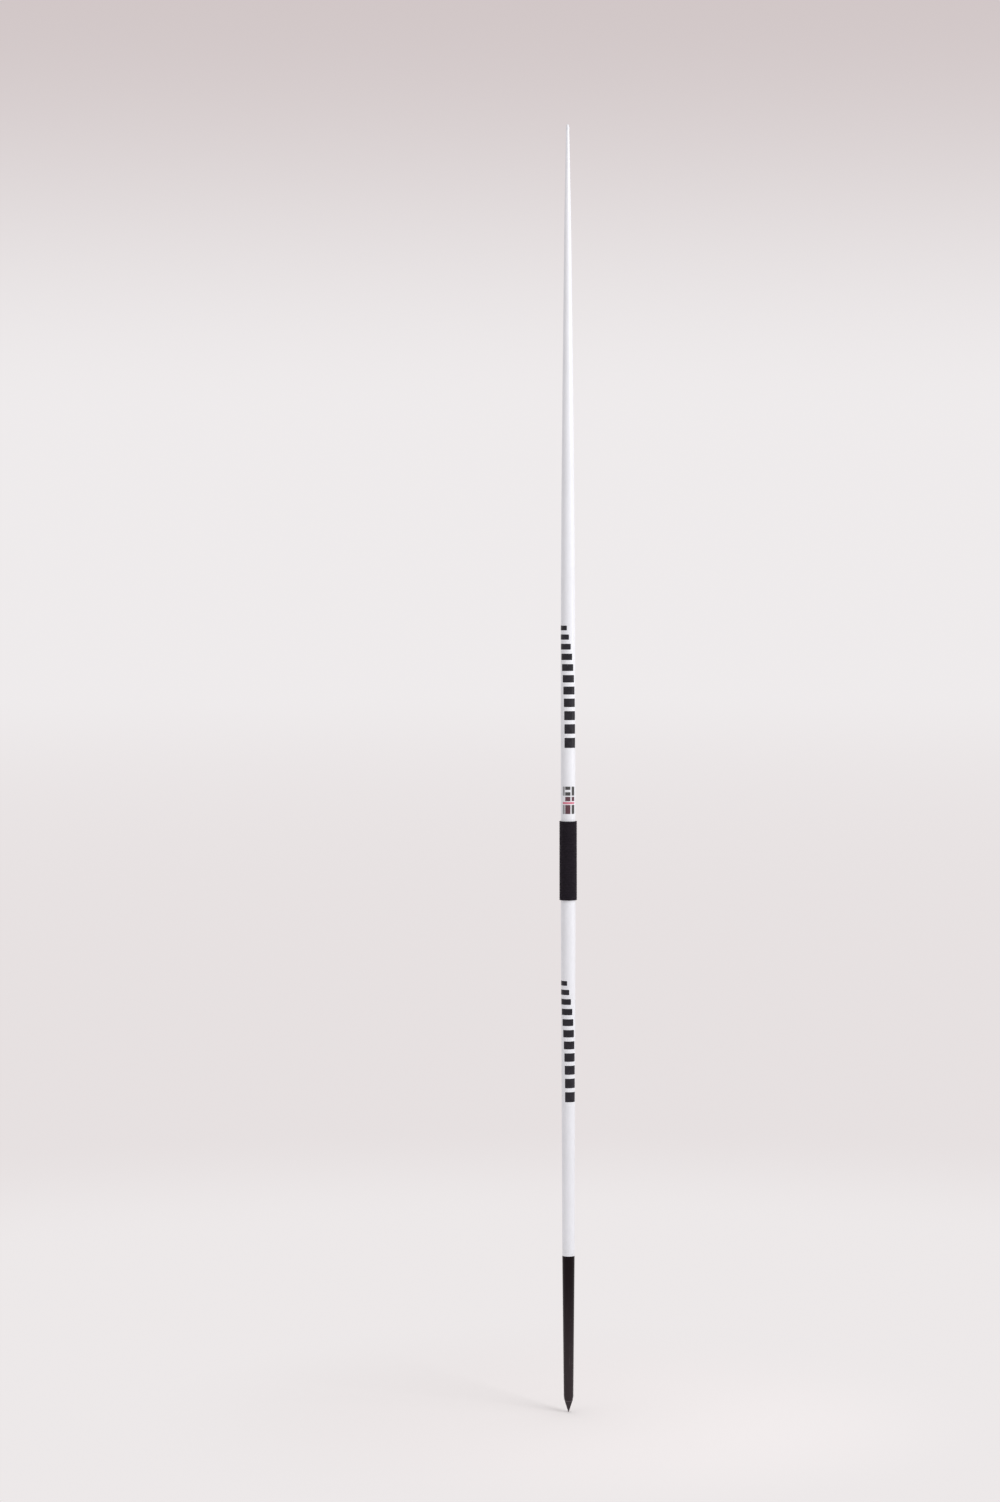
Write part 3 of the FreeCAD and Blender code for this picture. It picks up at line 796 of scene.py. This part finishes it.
def make_label_prints():
    """Plain blocks and a red band on the label, in three columns."""
    # Each print: its name, its full and its thin ink, and the places of its blocks.
    prints = (
        ("label_blocks_grey", grey(0.30, COOL), grey(0.40, COOL),
         [(0.66, 0.97, -47, -28), (0.03, 0.34, -47, -28)]),
        ("label_blocks_dark", grey(0.045), grey(0.10),
         [(0.86, 0.97, -24, 17), (0.66, 0.78, -24, 17), (0.66, 0.97, 27, 54),
          (0.03, 0.34, 27, 54)]),
        ("label_blocks_plum", (0.085, 0.028, 0.042, 1.0), (0.16, 0.07, 0.09, 1.0),
         [(0.47, 0.62, -24, 17), (0.03, 0.34, -24, 17), (0.47, 0.62, 27, 54)]),
        ("label_band_red", (0.62, 0.16, 0.24, 1.0), (0.72, 0.30, 0.36, 1.0),
         [(0.37, 0.44, -47, 54)]),
    )
    lift = FILM_LIFT + FILM_THICKNESS + PRINT_LIFT
    for name, full, thin, blocks in prints:
        patches = [label_patch(*block) for block in blocks]
        piece = make_films(name, patches, PRINT_CORNER, lift, PRINT_THICKNESS)
        dress(piece, printed_ink(name + "_ink", full, thin), "label_film")


# The studio. The camera stands where the photographer stood, and looks a little down.
CAMERA_PLACE = Vector((-0.1378, -7.2, 1.7))
CAMERA_PITCH = math.radians(90 - 2.772)
CAMERA_ROLL = math.radians(-0.095)
SENSOR = 36.0
FOCAL_PIXELS = 3562
PHOTO_HEIGHT = 1502
LENS = SENSOR * FOCAL_PIXELS / PHOTO_HEIGHT

# The floor's reach, where shading gives way to paint, and where the paint dims with painted
# shade and pales.
FLOOR_REACH = 60.0
SHADED_REACH = 0.25
PAINTED_REACH = 0.9
SWEEP = (2.2, 3.8)
HAZE = (4.0, 45.0)
FLOOR_BRIGHT = (0.845, 0.812, 0.815, 1.0)
FLOOR_DIM = (0.795, 0.750, 0.752, 1.0)
BACKDROP_BRIGHT = (0.860, 0.832, 0.838, 1.0)
BACKDROP_DIM = (0.640, 0.570, 0.572, 1.0)

# The backdrop dims upwards, as painted shade, between two shares of a straight look up.
DIMMING = (0.045, 0.165)
ROOM_COLOUR = (1.0, 0.985, 0.98, 1.0)
ROOM_LIGHT = 0.68

# Each softbox: its name, place, aim, width, height and power in watts.
SOFTBOXES = (
    ("key_softbox", (2.0, -1.7, 3.0), (0, 0, 1.4), 1.4, 1.8, 40.0),
    ("overhead_softbox", (0, 0.4, 4.6), (0, 0, 0), 2.4, 2.4, 32.0),
    ("side_softbox", (2.3, -0.6, 1.6), (0, 0, 1.1), 0.5, 1.6, 6.0),
)


def seen_directly(tree):
    """1 for a ray from the camera, a reflection or through glass, and else 0."""
    path = tree.nodes.new("ShaderNodeLightPath")
    total = path.outputs["Is Camera Ray"]
    for ray in ("Is Glossy Ray", "Is Transmission Ray"):
        larger = tree.nodes.new("ShaderNodeMath")
        larger.operation = "MAXIMUM"
        tree.links.new(total, larger.inputs[0])
        tree.links.new(path.outputs[ray], larger.inputs[1])
        total = larger.outputs[0]
    return total


def make_floor():
    """A wide pale floor, lit near the javelin and painted where it meets the backdrop, with
    painted shade over the sweep.
    """
    work = bmesh.new()
    bmesh.ops.create_circle(work, cap_ends=True, radius=FLOOR_REACH, segments=128)
    mesh = bpy.data.meshes.new("studio_floor")
    work.to_mesh(mesh)
    work.free()
    floor = bpy.data.objects.new("studio_floor", mesh)
    bpy.context.scene.collection.objects.link(floor)

    look = Surface("studio_floor_paper", Roughness=0.9, Specular_IOR_Level=0.1)
    tree = look.material.node_tree
    length = look.add("ShaderNodeVectorMath", {0: look.place}, operation="LENGTH")
    distance = length.outputs["Value"]
    sweep = look.spread(distance, *SWEEP)
    haze = look.spread(distance, *HAZE)
    # Painted shade: the painted floor darkens over the sweep.
    near = look.blend(sweep, FLOOR_BRIGHT, FLOOR_DIM)
    seen = look.blend(haze, near, BACKDROP_BRIGHT)
    glow = look.add("ShaderNodeEmission", {"Color": seen, "Strength": 1.0}).outputs[0]
    look.shader.inputs["Base Color"].default_value = FLOOR_BRIGHT
    share = look.spread(distance, SHADED_REACH, PAINTED_REACH)
    share = look.maths("MULTIPLY", share, seen_directly(tree))
    mixed = look.add("ShaderNodeMixShader", {0: share, 1: look.shader.outputs[0], 2: glow})
    output = look.nodes["Material Output"]
    look.links.new(mixed.outputs[0], output.inputs["Surface"])
    look.material.cycles.emission_sampling = "NONE"
    mesh.materials.append(look.material)


def make_backdrop():
    """The world: plain room light, and for the camera a backdrop with painted shade that dims it
    upwards.
    """
    world = bpy.data.worlds.new("studio_backdrop")
    bpy.context.scene.world = world
    world.use_nodes = True
    tree = world.node_tree
    tree.nodes.clear()
    toward = tree.nodes.new("ShaderNodeTexCoord").outputs["Generated"]
    parts = tree.nodes.new("ShaderNodeSeparateXYZ")
    tree.links.new(toward, parts.inputs[0])
    painted_upward_shade = tree.nodes.new("ShaderNodeMapRange")
    painted_upward_shade.interpolation_type = "SMOOTHSTEP"
    painted_upward_shade.inputs["From Min"].default_value = DIMMING[0]
    painted_upward_shade.inputs["From Max"].default_value = DIMMING[1]
    tree.links.new(parts.outputs[2], painted_upward_shade.inputs["Value"])
    seen = tree.nodes.new("ShaderNodeMix")
    seen.data_type = "RGBA"
    tree.links.new(painted_upward_shade.outputs[0], seen.inputs[0])
    seen.inputs[6].default_value = BACKDROP_BRIGHT
    seen.inputs[7].default_value = BACKDROP_DIM
    backdrop = tree.nodes.new("ShaderNodeBackground")
    tree.links.new(seen.outputs[2], backdrop.inputs["Color"])
    room = tree.nodes.new("ShaderNodeBackground")
    room.inputs["Color"].default_value = ROOM_COLOUR
    room.inputs["Strength"].default_value = ROOM_LIGHT
    either = tree.nodes.new("ShaderNodeMixShader")
    tree.links.new(seen_directly(tree), either.inputs[0])
    tree.links.new(room.outputs[0], either.inputs[1])
    tree.links.new(backdrop.outputs[0], either.inputs[2])
    output = tree.nodes.new("ShaderNodeOutputWorld")
    tree.links.new(either.outputs[0], output.inputs["Surface"])


def make_lamp(name, place, aim, width, height, power):
    """A softbox that the camera doesn't see."""
    light = bpy.data.lights.new(name, "AREA")
    light.shape = "RECTANGLE"
    light.size = width
    light.size_y = height
    light.energy = power
    lamp = bpy.data.objects.new(name, light)
    lamp.location = place
    lamp.rotation_euler = (Vector(aim) - Vector(place)).to_track_quat("-Z", "Y").to_euler()
    lamp.visible_camera = False
    bpy.context.scene.collection.objects.link(lamp)


def make_lamps():
    """A key softbox ahead at the right, a broad one overhead and a slim one at the side."""
    for softbox in SOFTBOXES:
        make_lamp(*softbox)


def make_camera():
    """The camera, which frames the javelin as the photo does."""
    camera = bpy.data.cameras.new("camera")
    camera.sensor_width = SENSOR
    camera.lens = LENS
    stand = bpy.data.objects.new("camera", camera)
    stand.matrix_world = (Matrix.Translation(CAMERA_PLACE)
                          @ Matrix.Rotation(CAMERA_PITCH, 4, "X")
                          @ Matrix.Rotation(CAMERA_ROLL, 4, "Z"))
    bpy.context.scene.collection.objects.link(stand)
    bpy.context.scene.camera = stand


make_pieces()
make_floor()
make_backdrop()
make_lamps()
make_camera()
bpy.context.scene.view_settings.view_transform = "Standard"
